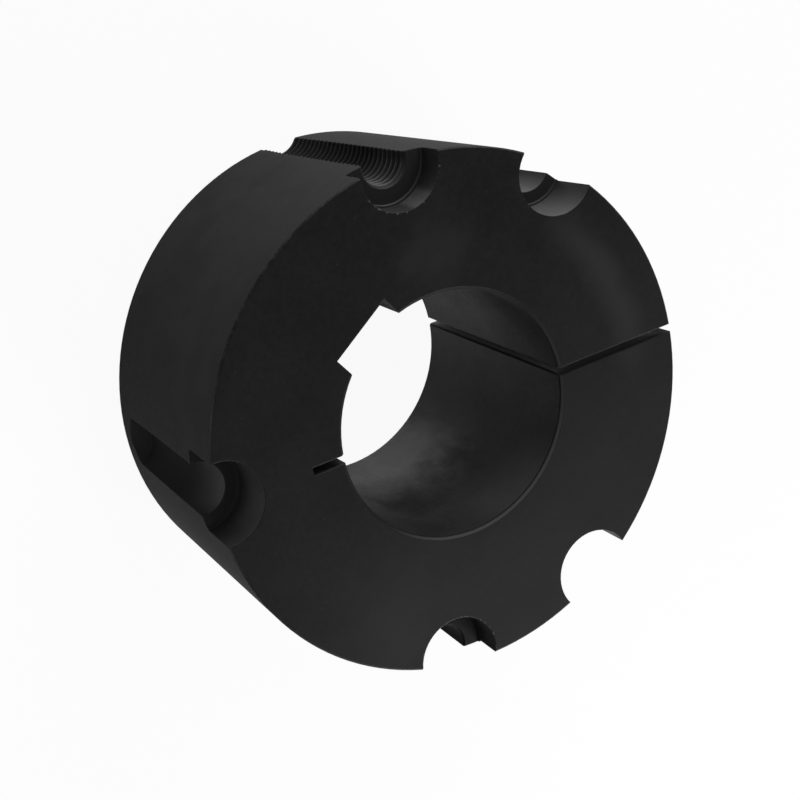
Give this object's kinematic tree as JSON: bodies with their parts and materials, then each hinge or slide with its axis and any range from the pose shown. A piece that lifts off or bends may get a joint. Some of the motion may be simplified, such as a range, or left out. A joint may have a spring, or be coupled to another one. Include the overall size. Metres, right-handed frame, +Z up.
{
  "type": "taper bush",
  "caption": "Split tapered locking bush with a keyed bore, blind half-round mounting pockets and threaded half-round jacking holes.",
  "frame": {"origin": "centre of the small end, on the bore's axis, where the bush stands", "axes": "+Z up the bore's axis from the small end to the large end, +Y from the axis towards the keyway"},
  "size_m": [0.127, 0.1268, 0.0635],
  "materials": {
    "black_iron": "machined, black oxide, satin with a light oil film"
  },
  "bodies": {
    "root": {"taper_bush": "black_iron"}
  },
  "joints": []
}
